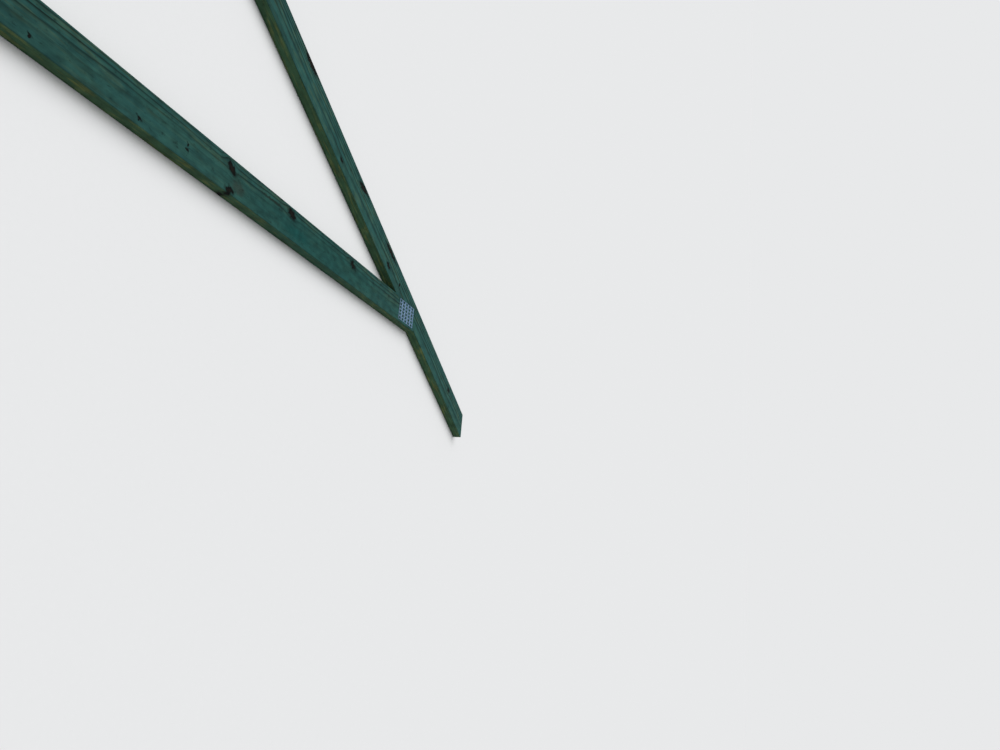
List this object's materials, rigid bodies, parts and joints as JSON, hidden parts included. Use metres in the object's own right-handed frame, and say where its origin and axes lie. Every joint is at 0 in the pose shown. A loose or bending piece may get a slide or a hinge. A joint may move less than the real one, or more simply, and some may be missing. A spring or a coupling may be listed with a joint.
{
  "type": "wooden roof truss",
  "caption": "Gable roof truss of green treated pine boards, pressed together by punched steel nail plates on both faces, with plumb cut eave tails, lying flat.",
  "frame": {"origin": "mid span on the bearing line, the underside of the bottom chord, halfway through the timber's thickness", "axes": "+X along the span to the right hand heel, +Y up the rise to the apex, +Z out of the front face, up as the truss lies flat"},
  "size_m": [7.2, 1.8558, 0.037],
  "materials": {
    "treated_pine": "dressed, matt, green preservative stain",
    "galvanised_steel": "hot dip zinc, dull"
  },
  "bodies": {
    "root": {"apex_plate_back": "galvanised_steel", "apex_plate_front": "galvanised_steel", "bottom_chord": "treated_pine", "bottom_web_plate_left_back": "galvanised_steel", "bottom_web_plate_left_front": "galvanised_steel", "bottom_web_plate_right_back": "galvanised_steel", "bottom_web_plate_right_front": "galvanised_steel", "heel_plate_left_back": "galvanised_steel", "heel_plate_left_front": "galvanised_steel", "heel_plate_right_back": "galvanised_steel", "heel_plate_right_front": "galvanised_steel", "long_web_left": "treated_pine", "long_web_right": "treated_pine", "short_web_left": "treated_pine", "short_web_right": "treated_pine", "top_chord_left": "treated_pine", "top_chord_right": "treated_pine", "top_web_plate_left_back": "galvanised_steel", "top_web_plate_left_front": "galvanised_steel", "top_web_plate_right_back": "galvanised_steel", "top_web_plate_right_front": "galvanised_steel"}
  },
  "joints": []
}
